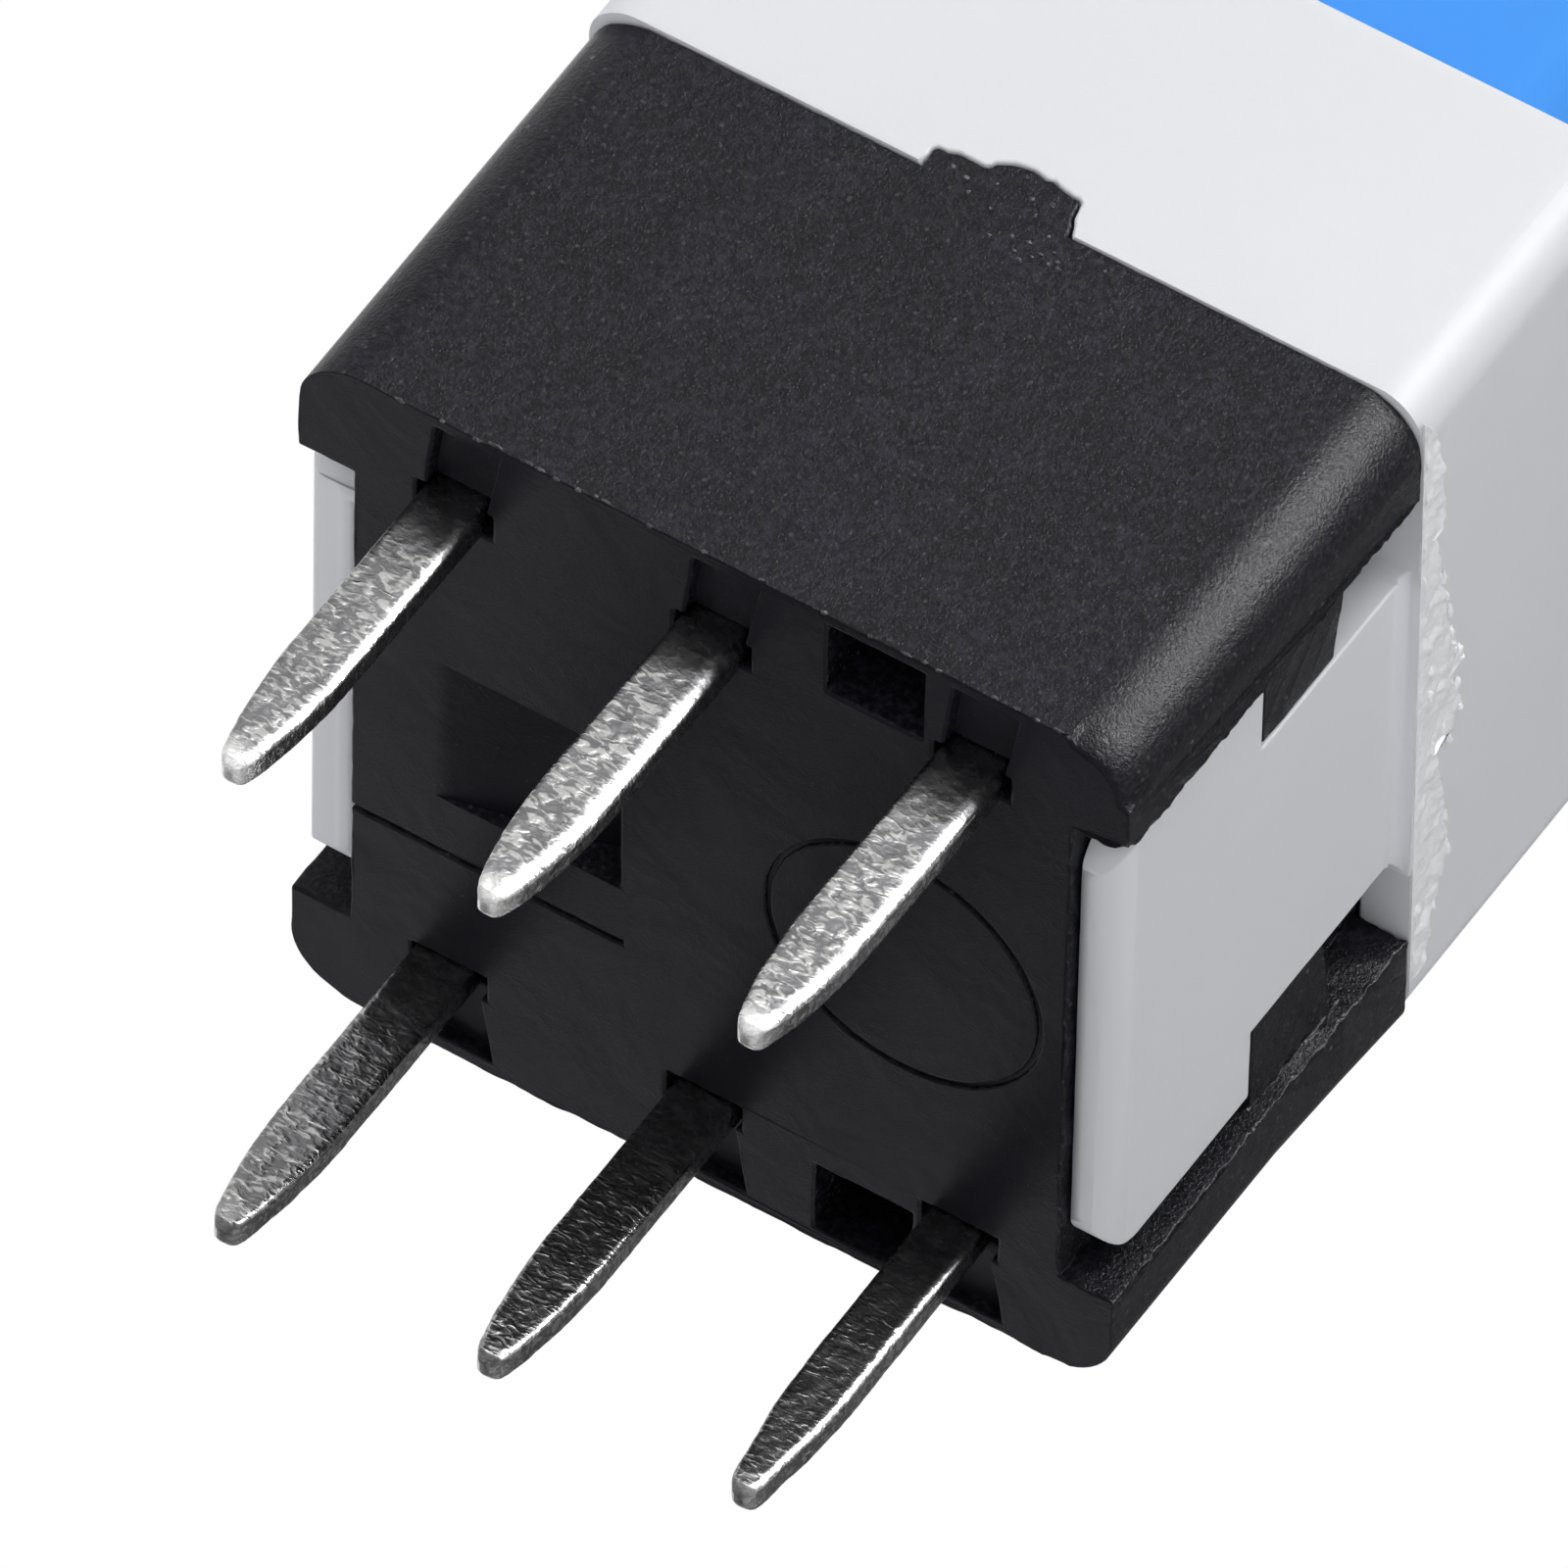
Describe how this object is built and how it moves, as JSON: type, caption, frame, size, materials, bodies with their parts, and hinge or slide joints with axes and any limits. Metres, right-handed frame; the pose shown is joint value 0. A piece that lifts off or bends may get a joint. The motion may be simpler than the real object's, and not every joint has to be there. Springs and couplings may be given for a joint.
{
  "type": "latching push button switch",
  "caption": "Square latching push button switch with a black base, white clip-on cover, blue button and flat through-hole terminals in two rows.",
  "frame": {"origin": "middle of the base's underside, the face that seats on the circuit board, midway between the two rows of terminals", "axes": "+Z out through the button, +X along the terminal rows towards the normally open terminals, -Y towards the front face"},
  "size_m": [0.0082, 0.0082, 0.0161],
  "materials": {
    "base_plastic": "fine spark-eroded texture, near black",
    "cover_plastic": "satin white",
    "button_plastic": "glossy blue",
    "spring_steel": "drawn wire",
    "contact_bronze": "rolled strip",
    "tin_plate": "mottled tin plate"
  },
  "bodies": {
    "housing": {"base": "base_plastic", "cover": "cover_plastic", "return_spring": "spring_steel", "terminal_nc_front": "tin_plate", "terminal_common_front": "tin_plate", "terminal_no_front": "tin_plate", "terminal_nc_rear": "tin_plate", "terminal_common_rear": "tin_plate", "terminal_no_rear": "tin_plate"},
    "slider": {"button": "button_plastic", "contact_clip_front": "contact_bronze", "contact_clip_rear": "contact_bronze"},
    "lock": {"lock_pin": "spring_steel"}
  },
  "joints": [
    {"name": "button_press", "type": "slide", "parent": "housing", "child": "slider", "axis": [0, 0, 1], "range_m": [-0.0022, 0], "stiffness_N_per_m": 600, "springref_m": 0.0012, "deforming": ["return_spring"]},
    {"name": "lock_swing", "type": "hinge", "parent": "housing", "child": "lock", "pos_m": [0, 0, 0.001], "axis": [1, 0, 0], "range_deg": [-16.5, 0.5]}
  ],
  "couplings": [
    {"joint": "lock_swing", "follows": "button_press", "rad_per_m": 126.4}
  ]
}
